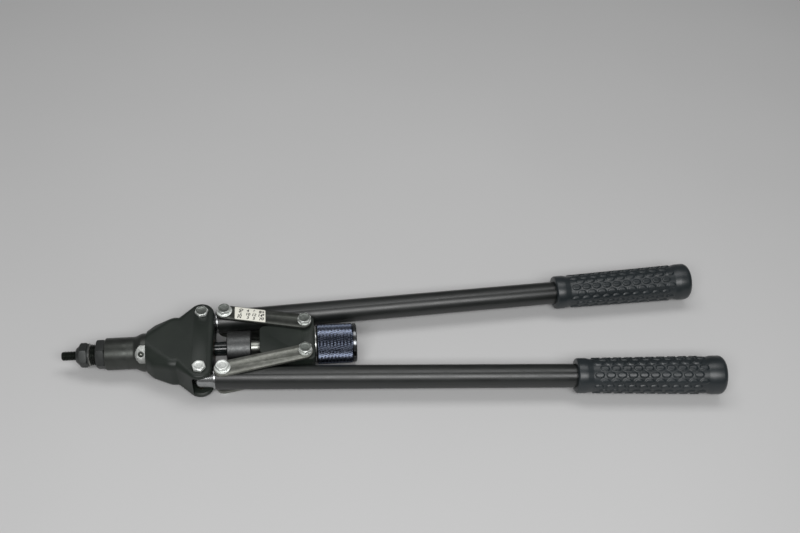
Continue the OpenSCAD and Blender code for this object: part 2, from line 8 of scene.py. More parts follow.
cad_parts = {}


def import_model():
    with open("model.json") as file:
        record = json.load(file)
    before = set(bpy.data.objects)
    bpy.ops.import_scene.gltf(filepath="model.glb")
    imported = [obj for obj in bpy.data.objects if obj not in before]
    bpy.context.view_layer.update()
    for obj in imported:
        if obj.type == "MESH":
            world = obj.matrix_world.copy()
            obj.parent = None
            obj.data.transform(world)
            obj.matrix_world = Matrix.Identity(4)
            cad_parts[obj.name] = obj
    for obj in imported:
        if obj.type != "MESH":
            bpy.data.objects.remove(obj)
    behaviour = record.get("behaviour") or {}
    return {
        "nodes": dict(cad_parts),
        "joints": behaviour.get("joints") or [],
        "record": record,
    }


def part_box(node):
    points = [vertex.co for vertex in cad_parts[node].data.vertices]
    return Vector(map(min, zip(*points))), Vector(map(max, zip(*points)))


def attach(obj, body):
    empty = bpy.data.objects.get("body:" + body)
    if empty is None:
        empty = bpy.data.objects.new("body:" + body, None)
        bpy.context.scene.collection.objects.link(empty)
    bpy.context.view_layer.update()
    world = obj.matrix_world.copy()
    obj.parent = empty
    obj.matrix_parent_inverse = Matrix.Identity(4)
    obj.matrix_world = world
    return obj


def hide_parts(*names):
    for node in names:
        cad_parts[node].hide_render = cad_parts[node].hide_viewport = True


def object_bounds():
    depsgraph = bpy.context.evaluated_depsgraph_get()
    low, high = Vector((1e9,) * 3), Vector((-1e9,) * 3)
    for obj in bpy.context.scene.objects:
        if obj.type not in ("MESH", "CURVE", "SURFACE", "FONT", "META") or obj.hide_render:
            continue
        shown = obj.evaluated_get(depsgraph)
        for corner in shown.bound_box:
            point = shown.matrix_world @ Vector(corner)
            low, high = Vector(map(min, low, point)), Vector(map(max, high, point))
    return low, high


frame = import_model()
cad_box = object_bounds()

# The tool's lengths are in millimetres, in the CAD model's frame: the origin is at the
# nose's front face, +X runs back along the tool's axis, +Z is up. The floor, the lights
# and the camera are in metres.
MM = 0.001
TAU = 2 * math.pi
SIDES = {"left": -1, "right": 1}
JOINT_POS = {j["name"]: Vector(j["pos_m"]) / MM for j in frame["joints"] if "pos_m" in j}

# How far the levers turn outwards at rest, and the links inwards
SPLAY = math.radians(3.2)
LINK_SLANT = math.radians(11.858)
# From a link's one bolt to the other, and from a lever's pivot to its link bolt
LINK_L = 69.4
LINK_ARM = 19
# Turn of the milled flat about the axis, from the top
FLAT_TURN = math.radians(45)

# Radii, the hexagons' width and heights that pieces share, and the gap between pieces
# that are fixed together
BOLT_R = 3.0
HEX_AF = 10.0
BOLT_HEAD_H = 3.5
PIVOT_HEAD_H = 2.9
ROD_R = 6.0
TUBE_R = 10.0
SPIGOT_R = 12.0
FIT = 0.02


def box(node):
    lo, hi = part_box(node)
    return lo / MM, hi / MM


def ends(node):
    """Where the node starts and ends along the axis."""
    lo, hi = box(node)
    return lo.x, hi.x


# ---------------------------------------------------------------- mesh helpers

def new_object(name, mesh):
    ob = bpy.data.objects.new(name, mesh)
    bpy.context.scene.collection.objects.link(ob)
    return ob


def from_bmesh(name, bm):
    bmesh.ops.recalc_face_normals(bm, faces=bm.faces)
    mesh = bpy.data.meshes.new(name)
    bm.to_mesh(mesh)
    bm.free()
    return new_object(name, mesh)


def turned(name, profile, segments=96, matrix=Matrix.Identity(4)):
    """Turns [x, radius] points about the X axis. A radius may be a function of the angle.
    The profile closes on itself, so a piece with a bore lists its bore too."""
    bm = bmesh.new()
    grid = []
    for i in range(segments):
        a = TAU * i / segments
        ring = []
        for x, r in profile:
            if callable(r):
                r = r(a)
            point = Vector((x * MM, r * MM * math.cos(a), r * MM * math.sin(a)))
            ring.append(bm.verts.new(matrix @ point))
        grid.append(ring)
    n = len(profile)
    for i in range(segments):
        ring, after = grid[i], grid[(i + 1) % segments]
        for k in range(n):
            m = (k + 1) % n
            if profile[k][1] == 0 and profile[m][1] == 0:
                continue
            bm.faces.new((ring[k], after[k], after[m], ring[m]))
    bmesh.ops.remove_doubles(bm, verts=bm.verts, dist=1e-7)
    bmesh.ops.dissolve_degenerate(bm, edges=bm.edges, dist=1e-8)
    return from_bmesh(name, bm)


def prism(name, low, high):
    """A prism between two rings of points."""
    bm = bmesh.new()
    low, high = [[bm.verts.new(Vector(point) * MM) for point in ring] for ring in (low, high)]
    bm.faces.new(low)
    bm.faces.new(high)
    for i in range(len(low)):
        k = (i + 1) % len(low)
        bm.faces.new((low[i], low[k], high[k], high[i]))
    return from_bmesh(name, bm)


def apply_modifiers(ob):
    bpy.context.view_layer.update()
    mesh = bpy.data.meshes.new_from_object(ob.evaluated_get(bpy.context.evaluated_depsgraph_get()))
    ob.modifiers.clear()
    old = ob.data
    ob.data = mesh
    bpy.data.meshes.remove(old)


def boolean(ob, cutters, operation="DIFFERENCE"):
    for c in cutters:
        m = ob.modifiers.new("cut", "BOOLEAN")
        m.operation = operation
        m.solver = "EXACT"
        m.object = c
    apply_modifiers(ob)
    for c in cutters:
        bpy.data.objects.remove(c)


def soften(ob, width, angle, segments=2, edge=-1):
    """Rounds the sharp edges, gives them the material slot named by edge, and shades the
    rest smooth."""
    bm = bmesh.new()
    bm.from_mesh(ob.data)
    bmesh.ops.remove_doubles(bm, verts=bm.verts, dist=2e-6)
    bmesh.ops.dissolve_limit(bm, angle_limit=math.radians(0.6), verts=bm.verts, edges=bm.edges)
    bm.to_mesh(ob.data)
    bm.free()
    if width:
        m = ob.modifiers.new("bevel", "BEVEL")
        m.width = width * MM
        m.segments = segments
        m.limit_method = "ANGLE"
        m.angle_limit = math.radians(angle)
        m.use_clamp_overlap = True
        m.material = edge
        apply_modifiers(ob)
    smooth(ob, angle)
    return ob


def smooth(ob, angle):
    for p in ob.data.polygons:
        p.use_smooth = True
    ob.data.set_sharp_from_angle(angle=math.radians(angle))


def softened_copy(node, width, angle=32, edge=-1):
    """A copy of a CAD node's mesh with rounded edges. Its two empty material slots let the
    rounded edges take the second."""
    ob = new_object(node + "_soft", frame["nodes"][node].data.copy())
    for a in list(ob.data.attributes):
        if a.name == "custom_normal":
            ob.data.attributes.remove(a)
    ob.data.materials.clear()
    ob.data.materials.append(None)
    ob.data.materials.append(None)
    soften(ob, width, angle, 2, edge)
    return ob


def box_cutter(lo, hi, matrix=Matrix.Identity(4)):
    bm = bmesh.new()
    bmesh.ops.create_cube(bm, size=1)
    lo, hi = Vector(lo) * MM, Vector(hi) * MM
    for v in bm.verts:
        v.co = matrix @ Vector(lo[i] + (v.co[i] + 0.5) * (hi[i] - lo[i]) for i in range(3))
    return from_bmesh("cutter", bm)


def rod_cutter(r, lo, hi, matrix=Matrix.Identity(4), segments=96):
    """A cylinder along the matrix's X axis."""
    return turned("cutter", [(lo, 0), (lo, r), (hi, r), (hi, 0)], segments, matrix)


# Turns the X axis up
UPRIGHT = Matrix.Rotation(math.radians(-90), 4, "Y")


def at(x, y, z=0.0):
    return Matrix.Translation(Vector((x, y, z)) * MM)


# ---------------------------------------------------------------- materials

class Nodes:
    """A short way to write a material's node tree."""

    def __init__(self, name):
        self.mat = bpy.data.materials.new(name)
        self.mat.use_nodes = True
        self.tree = self.mat.node_tree
        self.bsdf = self.tree.nodes["Principled BSDF"]
        self.coord = self.tree.nodes.new("ShaderNodeTexCoord").outputs["Object"]

    def node(self, kind, inputs=(), **settings):
        n = self.tree.nodes.new(kind)
        for k, v in settings.items():
            setattr(n, k, v)
        for k, v in dict(inputs).items():
            if isinstance(v, bpy.types.NodeSocket):
                self.tree.links.new(v, n.inputs[k])
            else:
                n.inputs[k].default_value = v
        return n

    def stretched(self, scale):
        m = self.node("ShaderNodeMapping", {"Vector": self.coord})
        m.inputs["Scale"].default_value = scale
        return m.outputs[0]

    def noise(self, scale, detail, rough=0.55, vector=None):
        n = self.node("ShaderNodeTexNoise", {
            "Vector": vector or self.coord, "Scale": scale, "Detail": detail, "Roughness": rough})
        return n.outputs["Fac"]

    def ramp(self, fac, *stops):
        n = self.node("ShaderNodeValToRGB", {"Fac": fac})
        e = n.color_ramp.elements
        while len(e) < len(stops):
            e.new(0.5)
        for el, (p, c) in zip(e, stops):
            el.position = p
            el.color = (*c, 1)
        return n.outputs["Color"]

    def grey(self, fac, lo, hi, a=0.3, b=0.7):
        return self.node("ShaderNodeMapRange", {
            "Value": fac, "From Min": a, "From Max": b, "To Min": lo, "To Max": hi}).outputs[0]

    def mix(self, fac, a, b):
        n = self.node("ShaderNodeMix", data_type="RGBA")
        for socket, v in ((n.inputs[0], fac), (n.inputs[6], a), (n.inputs[7], b)):
            if isinstance(v, bpy.types.NodeSocket):
                self.tree.links.new(v, socket)
            else:
                socket.default_value = (*v, 1)
        return n.outputs[2]

    def math(self, op, a, b=0.0):
        n = self.node("ShaderNodeMath", operation=op)
        for socket, v in zip(n.inputs, (a, b)):
            if isinstance(v, bpy.types.NodeSocket):
                self.tree.links.new(v, socket)
            else:
                socket.default_value = v
        return n.outputs[0]

    def bump(self, height, strength, distance):
        n = self.node("ShaderNodeBump", {"Height": height})
        n.inputs["Strength"].default_value = strength
        n.inputs["Distance"].default_value = distance * MM
        if self.bsdf.inputs["Normal"].links:
            self.tree.links.new(self.bsdf.inputs["Normal"].links[0].from_socket, n.inputs["Normal"])
        self.tree.links.new(n.outputs[0], self.bsdf.inputs["Normal"])

    def set(self, **values):
        for k, v in values.items():
            socket = self.bsdf.inputs[k.replace("_", " ").title().replace("Ior", "IOR")]
            if isinstance(v, bpy.types.NodeSocket):
                self.tree.links.new(v, socket)
            else:
                socket.default_value = v
        return self.mat


def black_paint(name, lo, hi, rough, peel, pits=0.0, gloss=0.4):
    """Satin black paint: slight clouds, orange peel and, on a casting, fine pits."""
    m = Nodes(name)
    cloud = m.noise(45, 4)
    m.bump(m.noise(420, 2), peel, 0.1)
    if pits:
        m.bump(m.noise(1300, 4, 0.6), pits, 0.1)
    return m.set(
        base_color=m.ramp(cloud, (0.3, lo), (0.7, hi)),
        roughness=m.grey(cloud, rough - 0.04, rough + 0.06), metallic=0.0, specular_ior_level=gloss)


def rubber():
    m = Nodes("grip_rubber")
    fine = m.noise(2200, 3, 0.7)
    cloud = m.noise(40, 3)
    m.bump(fine, 0.3, 0.05)
    return m.set(
        base_color=m.ramp(cloud, (0.3, (0.009, 0.014, 0.0165)), (0.7, (0.014, 0.02, 0.0235))),
        roughness=m.grey(cloud, 0.32, 0.4), metallic=0.0, specular_ior_level=0.65)


def black_oxide(name, tint, wear=(0.16, 0.16, 0.15), rough=0.38, metallic=0.75):
    m = Nodes(name)
    fine = m.noise(700, 4, 0.6)
    cloud = m.noise(90, 4, 0.6)
    m.bump(fine, 0.15, 0.05)
    return m.set(
        base_color=m.mix(m.grey(cloud, 0, 0.5, 0.55, 0.75), tint, wear),
        roughness=m.grey(fine, rough - 0.06, rough + 0.1), metallic=metallic)


def steel(name, lo, hi, rough, stretch, mottling, metallic=1.0, grain=0.1):
    """Mottled spots, and streaks that run along the axes whose stretch is small."""
    m = Nodes(name)
    brush = m.noise(1.0, 4, 0.6, m.stretched(stretch))
    spots = m.noise(mottling, 5, 0.65)
    m.bump(brush, grain, 0.04)
    return m.set(
        base_color=m.ramp(spots, (0.3, lo), (0.7, hi)),
        roughness=m.grey(brush, rough - 0.07, rough + 0.09), metallic=metallic)


def milled_flat(centre):
    """Bare metal with the rings that a milling cutter leaves around the screw."""
    m = Nodes("milled_flat")
    ring_pitch = 0.9
    place = tuple(c * MM for c in centre)
    away = m.node("ShaderNodeVectorMath", {0: m.coord, 1: place}, operation="DISTANCE")
    wave = m.math("SINE", m.math("MULTIPLY", away.outputs["Value"], TAU / (ring_pitch * MM)))
    fine = m.noise(1200, 4)
    m.bump(wave, 0.22, 0.06)
    m.bump(fine, 0.3, 0.04)
    return m.set(
        base_color=m.ramp(fine, (0.3, (0.24, 0.25, 0.24)), (0.7, (0.36, 0.37, 0.355))),
        roughness=m.grey(wave, 0.42, 0.52, -1, 1), metallic=0.8)


def printed_plate():
    m = Nodes("printed_plate")
    paper = m.noise(900, 4)
    return m.set(
        base_color=m.ramp(paper, (0.3, (0.86, 0.85, 0.75)), (0.7, (0.92, 0.91, 0.82))),
        roughness=m.grey(paper, 0.4, 0.5), metallic=0.0)


def ink(name, lo, hi):
    m = Nodes(name)
    fade = m.noise(1500, 3)
    return m.set(
        base_color=m.ramp(fade, (0.3, lo), (0.7, hi)),
        roughness=m.grey(fade, 0.5, 0.6), metallic=0.0)


CASTING = black_paint("casting_paint", (0.012, 0.0165, 0.0135), (0.018, 0.0235, 0.019), rough=0.42,
                      peel=0.1, pits=0.2)
TUBE = black_paint("tube_paint", (0.004, 0.0055, 0.005), (0.007, 0.009, 0.008), rough=0.36,
                   peel=0.08, gloss=0.8)
# Near-black glossy paint for the rod's front part: a painted dark reflection on the same bright steel.
ROD_DARK_REFLECTION = black_paint("rod_painted_dark_reflection", (0.006, 0.009, 0.009), (0.01, 0.013, 0.013), rough=0.14,
                        peel=0.02, gloss=0.6)
RUBBER = rubber()
OXIDE = black_oxide("black_oxide", (0.02, 0.024, 0.02), (0.09, 0.09, 0.085))
NOSE = black_oxide("nose_oxide", (0.042, 0.045, 0.044), (0.08, 0.082, 0.08), rough=0.44, metallic=0.5)
SPRING = black_oxide("spring_steel", (0.05, 0.05, 0.05))
BARREL = steel("barrel_finish", (0.062, 0.066, 0.061), (0.084, 0.089, 0.083), rough=0.42,
               stretch=(260, 6, 6), mottling=70, metallic=0.9)
# Dark knob steel tinted blue: the tint is a painted reflection of a blue surrounding.
KNURL_STEEL_BLUE_REFLECTION = steel("knurl_steel_painted_blue_reflection", (0.062, 0.073, 0.104), (0.095, 0.107, 0.138), rough=0.2,
              stretch=(300, 300, 300), mottling=300, grain=0.02)
DARK_RING = steel("turned_ring", (0.12, 0.125, 0.13), (0.18, 0.185, 0.19), rough=0.17,
                  stretch=(900, 60, 60), mottling=300, grain=0.02)
ROD = steel("rod_steel", (0.3, 0.31, 0.28), (0.42, 0.43, 0.4), rough=0.34,
            stretch=(60, 700, 700), mottling=120)
ZINC = steel("zinc_plating", (0.74, 0.77, 0.74), (0.86, 0.89, 0.86), rough=0.27,
             stretch=(300, 300, 300), mottling=400, metallic=0.5)
# A grey copy of the zinc for the bolts' tops: painted shade, since the tops carry the same plating as the
# sides.
BOLT_TOP_SHADE = steel("bolt_top_painted_shade", (0.16, 0.175, 0.16), (0.3, 0.32, 0.3), rough=0.4,
                 stretch=(200, 200, 200), mottling=500)
LINK = steel("link_steel", (0.17, 0.175, 0.155), (0.27, 0.275, 0.25), rough=0.42,
             stretch=(30, 700, 700), mottling=260, metallic=0.8)
# The same link steel, made darker: painted shade for the right link.
LINK_SHADED = steel("link_steel_painted_shade", (0.06, 0.064, 0.057), (0.1, 0.105, 0.096), rough=0.42,
                  stretch=(30, 700, 700), mottling=260, metallic=0.8)
BAR = steel("bar_steel", (0.32, 0.33, 0.33), (0.44, 0.45, 0.45), rough=0.27,
            stretch=(80, 500, 500), mottling=120, grain=0.02)
SATIN = steel("satin_steel", (0.5, 0.51, 0.5), (0.64, 0.65, 0.64), rough=0.25,
              stretch=(700, 60, 60), mottling=120)
SLEEVE = steel("sleeve_steel", (0.075, 0.078, 0.078), (0.13, 0.133, 0.133), rough=0.44,
               stretch=(500, 500, 500), mottling=700, grain=0.6)
# Lighter steel for edges: wear, and a painted highlight where a rounded edge or taper catches the lamp.
WORN_EDGE_HIGHLIGHT = steel("worn_edge_and_painted_highlight", (0.2, 0.2, 0.19), (0.4, 0.4, 0.38), rough=0.34,
             stretch=(300, 300, 300), mottling=600)
BRONZE = steel("oiled_bronze", (0.1, 0.07, 0.038), (0.17, 0.12, 0.065), rough=0.36,
               stretch=(500, 80, 80), mottling=300)
PLATE = printed_plate()
INK = ink("plate_ink", (0.01, 0.01, 0.01), (0.03, 0.03, 0.028))
PALE_INK = ink("plate_pale_ink", (0.12, 0.12, 0.11), (0.2, 0.2, 0.18))


def dress(ob, *materials):
    ob.data.materials.clear()
    for m in materials:
        ob.data.materials.append(m)
    return ob


def stand_for(ob, node, slot, *materials):
    """The piece rides with the CAD node's body and is shown in its place."""
    dress(ob, *materials)
    ob.name = node + "_piece"
    body = next(b for b, ns in frame["record"]["behaviour"]["bodies"].items() if node in ns)
    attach(ob, body)
    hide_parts(node)


def paint(ob, index, where):
    """Gives the material at index to the faces whose centre and normal pass the test."""
    for p in ob.data.polygons:
        if where(p.center / MM, p.normal):
            p.material_index = index


def slot_of(node):
    return next(s["material_slot"] for s in frame["record"]["subparts"] if s["node"] == node)


# ---------------------------------------------------------------- head

# The casting's front face at the barrel's collar, its rear face, the right lever's pivot,
# and the lobes' radius
HEAD_FRONT = box("barrel")[1].x
HEAD_REAR = box("head_body")[1].x
PIVOT = JOINT_POS["right_lever_hinge"]
LOBE_R = HEAD_REAR - PIVOT.x
# Radius at the barrel's collar, half the height at the pivots, half the waist's width,
# and half the height of a lever's slot
HEAD_FRONT_R = 17.0
HEAD_TOP = 14.6
HEAD_WAIST = 27.2
SLOT_TOP = 9.6


def add_pill(bm, x, y, r, rim, h, tilt):
    """Points of a round pad with rounded rims, tilted along X, and of its mirror image below."""
    turn = Matrix.Rotation(tilt, 3, "Y")
    around, rim_steps = 64, 8
    for i in range(around):
        a = TAU * i / around
        for k in range(rim_steps + 1):
            b = math.radians(90 * k / rim_steps)
            q = r - rim + rim * math.sin(b)
            v = turn @ Vector((q * math.cos(a), q * math.sin(a), rim * math.cos(b) - rim))
            for s in (-1, 1):
                bm.verts.new(Vector((x + v.x, y + v.y, s * (h + v.z))) * MM)


def hulled(fill):
    """The convex hull of the points that fill() adds."""
    bm = bmesh.new()
    fill(bm)
    bmesh.ops.remove_doubles(bm, verts=bm.verts, dist=1e-6)
    bmesh.ops.convex_hull(bm, input=bm.verts)
    bmesh.ops.delete(bm, geom=[v for v in bm.verts if not v.link_faces], context="VERTS")
    return from_bmesh("hull", bm)


def head_blank():
    """The casting before it is cut: one hull from the round front to the waist and one from
    there to the two lobes, blended into each other."""
    length = PIVOT.x - HEAD_FRONT
    taper = math.atan((HEAD_FRONT_R - HEAD_TOP) / length)

    def face(x):
        return HEAD_FRONT_R - (x - HEAD_FRONT) * math.tan(taper)

    def front(bm):
        for x in (HEAD_FRONT - 1, HEAD_FRONT + 0.1):
            for i in range(96):
                a = TAU * i / 96
                bm.verts.new(Vector((x, HEAD_FRONT_R * math.cos(a), HEAD_FRONT_R * math.sin(a))) * MM)
        for s in SIDES.values():
            add_pill(bm, HEAD_FRONT + 9.2, s * (HEAD_WAIST - 12.6), 8, 8, HEAD_TOP - 0.7, 0)
            x = HEAD_FRONT + 0.53 * length
            add_pill(bm, x, s * (HEAD_WAIST - 12.2), 12.2, 7, face(x), taper)

    def back(bm):
        for s in SIDES.values():
            x = HEAD_FRONT + 0.68 * length
            add_pill(bm, x, s * (HEAD_WAIST - 10), 10, 6, face(x), taper)
            add_pill(bm, PIVOT.x, s * PIVOT.y, LOBE_R, 2.6, HEAD_TOP, taper)

    ob = hulled(front)
    boolean(ob, [hulled(back)], "UNION")
    m = ob.modifiers.new("remesh", "REMESH")
    m.mode = "VOXEL"
    m.voxel_size = 0.55 * MM
    m = ob.modifiers.new("blend", "SMOOTH")
    m.factor = 0.5
    m.iterations = 6
    apply_modifiers(ob)
    return ob


def cut_lobe(ob, s):
    """Cuts a lever's slot, breaks the cheeks' outer edges at it, and bores and spot-faces
    for the pivot bolt."""
    slot_r = LOBE_R - 1.2
    y = s * PIVOT.y
    axis = at(PIVOT.x, y) @ UPRIGHT
    boolean(ob, [rod_cutter(slot_r, -SLOT_TOP, SLOT_TOP, axis)])
    boolean(ob, [box_cutter((PIVOT.x, y - slot_r, -SLOT_TOP), (HEAD_REAR + 1, y + slot_r, SLOT_TOP))])
    outer = sorted((y, y + s * (LOBE_R + 2)))
    boolean(ob, [box_cutter((PIVOT.x - 6, outer[0], -SLOT_TOP), (HEAD_REAR + 1, outer[1], SLOT_TOP))])

    wide, narrow, outside = LOBE_R + 0.6, LOBE_R - 2.1, LOBE_R + 4
    ring = turned("ring", [(-SLOT_TOP - 2.2, wide), (-SLOT_TOP + 0.5, narrow), (SLOT_TOP - 0.5, narrow),
                           (SLOT_TOP + 2.2, wide), (SLOT_TOP + 2.2, outside), (-SLOT_TOP - 2.2, outside)],
                  128, axis)
    side = sorted((y - s * 2, y + s * (LOBE_R + 6)))
    boolean(ring, [box_cutter((PIVOT.x - 5, side[0], -20), (HEAD_REAR + 6, side[1], 20))], "INTERSECT")
    boolean(ob, [ring])

    boolean(ob, [rod_cutter(BOLT_R + FIT, -20, 20, axis, 48)])
    spot_r, spot_depth, cutter_l = 6.37, 0.35, 2
    for z in (HEAD_TOP - spot_depth, spot_depth - HEAD_TOP - cutter_l):
        boolean(ob, [rod_cutter(spot_r, z, z + cutter_l, axis, 48)])


def head_casting():
    spigot_x = box("head_body")[0].x
    ob = head_blank()
    # The front face is flat and meets the barrel's collar.
    boolean(ob, [box_cutter((HEAD_FRONT - 5, -40, -40), (HEAD_FRONT, 40, 40))])
    boolean(ob, [rod_cutter(SPIGOT_R, spigot_x, HEAD_FRONT + 4)], "UNION")
    # The bores for the adapter, with room behind it, for the rod and for the guide bush
    adapter_r, rod_gap, bush_r = 8.45, 0.5, 8.52
    room = ends("mandrel_adapter")[1] + 1.5
    bush_x = ends("guide_bush")[0]
    boolean(ob, [rod_cutter(adapter_r, spigot_x - 1, room), rod_cutter(ROD_R + rod_gap, room - 1, bush_x + 1),
                 rod_cutter(bush_r, bush_x, HEAD_REAR + 1)])
    for s in SIDES.values():
        cut_lobe(ob, s)
    soften(ob, 0.3, 38)
    stand_for(ob, "head_body", "black_casting", CASTING)


def barrel():
    """A tube that flares to its rear collar, where a flat is milled for the set screw."""
    x0, x3 = ends("barrel")
    r, big = 13.5, 16.0
    x2 = x3 - 3.5
    x1 = x2 - 7.6
    plane = big - 1.8
    bore, seat, seat_l = 8.8, SPIGOT_R + FIT, 9.5
    turn = Matrix.Rotation(FLAT_TURN, 4, "X")
    flare = [(x1 + (x2 - x1) * i / 24, r + (big - r) * (1 - math.cos(math.pi * i / 24)) / 2)
             for i in range(25)]
    profile = [(x0, bore), (x0, r - 0.8), (x0 + 0.8, r), *flare, (x3 - 0.2, big), (x3, big - 0.2),
               (x3, seat), (x3 - seat_l, seat), (x3 - seat_l, bore)]
    ob = turned("barrel", profile, 128)
    boolean(ob, [box_cutter((x1 - 5, -20, plane), (x3 + 5, 20, 30), turn)])

    screw_x, hole_r = x3 - 3.9, 2.12
    axis = turn @ at(screw_x, 0) @ UPRIGHT
    rim = [(plane - 0.4, 0), (plane - 0.4, 2.1), (plane + 0.1, 2.6), (plane + 0.1, 0)]
    boolean(ob, [rod_cutter(hole_r, 11, 20, axis, 48), turned("cutter", rim, 48, axis)])
    soften(ob, 0.18, 30)
    centre = turn @ Vector((screw_x, 0, plane))
    stand_for(ob, "barrel", "barrel_steel", BARREL, milled_flat(centre))
    up = turn @ Vector((0, 0, 1))
    paint(ob, 1, lambda c, n: abs(c.dot(up) - plane) < 0.22 and c.x > x1 - 2 and n.dot(up) > 0.55)


# ---------------------------------------------------------------- hexagons and bolts

def joined(name, obs):
    bm = bmesh.new()
    for ob in obs:
        bm.from_mesh(ob.data)
        bpy.data.objects.remove(ob)
    mesh = bpy.data.meshes.new(name)
    bm.to_mesh(mesh)
    bm.free()
    return new_object(name, mesh)


def hex_head(z0, z1, turn, crown=4.85, dish=0.12):
    """A bolt's hexagon from z0 to z1: its corners are chamfered down from a round rim on
    its top, and the top inside the rim is slightly hollow."""
    corner = HEX_AF / math.sqrt(3)
    low, high = [[(corner * math.cos(turn + TAU * i / 6), corner * math.sin(turn + TAU * i / 6), z)
                  for i in range(6)] for z in (z0, z1)]
    ob = prism("hexagon", low, high)
    drop = (corner - crown) * math.tan(math.radians(33))
    chamfer = [(z0 - 1, 0), (z0 - 1, corner + 1), (z1 - drop, corner + 0.02), (z1, crown), (z1, 0)]
    boolean(ob, [turned("cutter", chamfer, 96, UPRIGHT)], "INTERSECT")
    hollow = [(z1 - dish, 0), (z1 - dish, crown - 2.1), (z1 - dish * 0.7, crown - 1.5),
              (z1 + 0.1, crown - 0.8), (z1 + 0.1, 0)]
    boolean(ob, [turned("cutter", hollow, 96, UPRIGHT)])
    return soften(ob, 0.16, 24, 3)


def shank(low, seat):
    """A bolt's shank, from its chamfered end up to the head's seat."""
    profile = [(low, 0), (low, BOLT_R - 0.5), (low + 0.5, BOLT_R), (seat, BOLT_R), (seat, 0)]
    return soften(turned("shank", profile, 64, UPRIGHT), 0.05, 30)


def paint_top_shade(ob, top):
    """Gives the second material, a painted shade, to the faces that look up, close under the top."""
    level, depth = 0.93, 0.32
    paint(ob, 1, lambda c, n: n.z > level and c.z > top - depth)


def bolt(node, place, turn, flange=0.0, shaded_top=True):
    """A zinc-plated hexagon bolt on the node's own seat and shank. It has a flange if that
    has a radius, and painted shade on its top unless it is told otherwise."""
    lo, hi = box(node)
    seat = hi.z - BOLT_HEAD_H
    parts = [hex_head(seat, hi.z, turn)]
    if flange:
        flange_t = 1.2
        profile = [(seat - flange_t, 0), (seat - flange_t, flange - 0.15), (seat - 0.75, flange),
                   (seat - 0.35, flange - 0.1), (seat, 5.6), (seat, 0)]
        parts.append(soften(turned("flange", profile, 96, UPRIGHT), 0.1, 30))
        seat -= flange_t
    parts.append(shank(lo.z, seat))
    ob = joined(node, parts)
    ob.data.transform(place)
    stand_for(ob, node, slot_of(node), ZINC, BOLT_TOP_SHADE)
    if shaded_top:
        paint_top_shade(ob, hi.z)


def pivot_bolts():
    """The two low bolts of the pivots share a node; only the right one's top has the painted shade."""
    lo, hi = box("head_pivot_bolts")
    seat = hi.z - PIVOT_HEAD_H
    parts = []
    for s in SIDES.values():
        for ob in (hex_head(seat, hi.z, math.radians(12 * s), 4.6, 0.2), shank(lo.z, seat)):
            ob.data.transform(at(PIVOT.x, s * PIVOT.y))
            parts.append(ob)
    ob = joined("pivot_bolts", parts)
    stand_for(ob, "head_pivot_bolts", slot_of("head_pivot_bolts"), ZINC, BOLT_TOP_SHADE)
    paint_top_shade(ob, hi.z)
    # The left bolt goes back to plain zinc, without painted shade on its top.
    paint(ob, 0, lambda c, n: c.y < 0)


# ---------------------------------------------------------------- nose and mandrel

def thread(x0, x1, major, pitch, depth, front=0.0, rear=0.0):
    """Stations of a screw thread, with a chamfer at its front and rear. Listed outside only."""
    steps = max(2, round((x1 - x0) / pitch * 10))
    out = []
    for i in range(steps + 1):
        x = x0 + (x1 - x0) * i / steps

        def radius(a, x=x):
            t = (x / pitch - a / TAU) % 1
            r = major - depth * max(0, min(1, (abs(2 * t - 1) - 0.1) / 0.78))
            if front:
                r = min(r, major - front + (x - x0))
            if rear:
                r = min(r, major - rear + (x1 - x))
            return r
        out.append((x, radius))
    return out


def nose_hexagon(af, x0, x1, chamfer, turn):
    """A hexagon along the axis, with its corners chamfered at both ends."""
    corner = af / math.sqrt(3)
    angles = [turn + TAU * i / 6 + math.pi / 2 for i in range(6)]
    low, high = [[(x, corner * math.sin(a), corner * math.cos(a)) for a in angles] for x in (x0, x1)]
    ob = prism("hexagon", low, high)
    round_off = [(x0 - 1, 0), (x0 - 1, corner - chamfer - 1), (x0 + chamfer, corner + 0.02),
                 (x1 - chamfer, corner + 0.02), (x1 + 1, corner - chamfer - 1), (x1 + 1, 0)]
    boolean(ob, [turned("cutter", round_off)], "INTERSECT")
    return ob


def nose():
    """Cone, hexagon, round collar and thread."""
    rear = ends("nose_piece")[1]
    bore, thread_r = 3.95, 8.75
    x_hex, x_collar, x_thread = 3.1, 9.5, 11.9
    cone = turned("cone", [(0, bore), (0, 5.9), (0.2, 6.1), (x_hex - 0.4, 8.4), (x_hex, 8.7), (x_hex, bore)])
    soften(cone, 0, 40)
    hexagon = nose_hexagon(18, x_hex, x_collar - 0.3, 0.9, math.radians(13))
    boolean(hexagon, [rod_cutter(bore, x_hex - 2, x_collar + 2)])
    soften(hexagon, 0.45, 24, 4)
    collar = turned("collar", [
        (x_collar - 0.3, bore), (x_collar - 0.3, 8.5), (x_collar, 8.6), (x_collar, 9.4),
        (x_collar + 0.2, 9.6), (x_thread - 0.9, 9.6), (x_thread, 8.8), (x_thread, bore)])
    soften(collar, 0.1, 30)
    turns = thread(x_thread, rear, thread_r, pitch=1.5, depth=0.75, rear=1.0)
    screw = turned("screw", [(x_thread, bore), *turns, (rear, bore)])
    smooth(screw, 50)
    ob = joined("nose", [cone, hexagon, collar, screw])
    stand_for(ob, "nose_piece", "black_oxide", NOSE, OXIDE, WORN_EDGE_HIGHLIGHT)
    # The collar's rear taper takes the lighter edge steel as a painted highlight.
    paint(ob, 2, lambda c, n: c.x > x_thread - 0.95 and n.x > 0.3)
    paint(ob, 1, lambda c, n: c.x > x_thread)


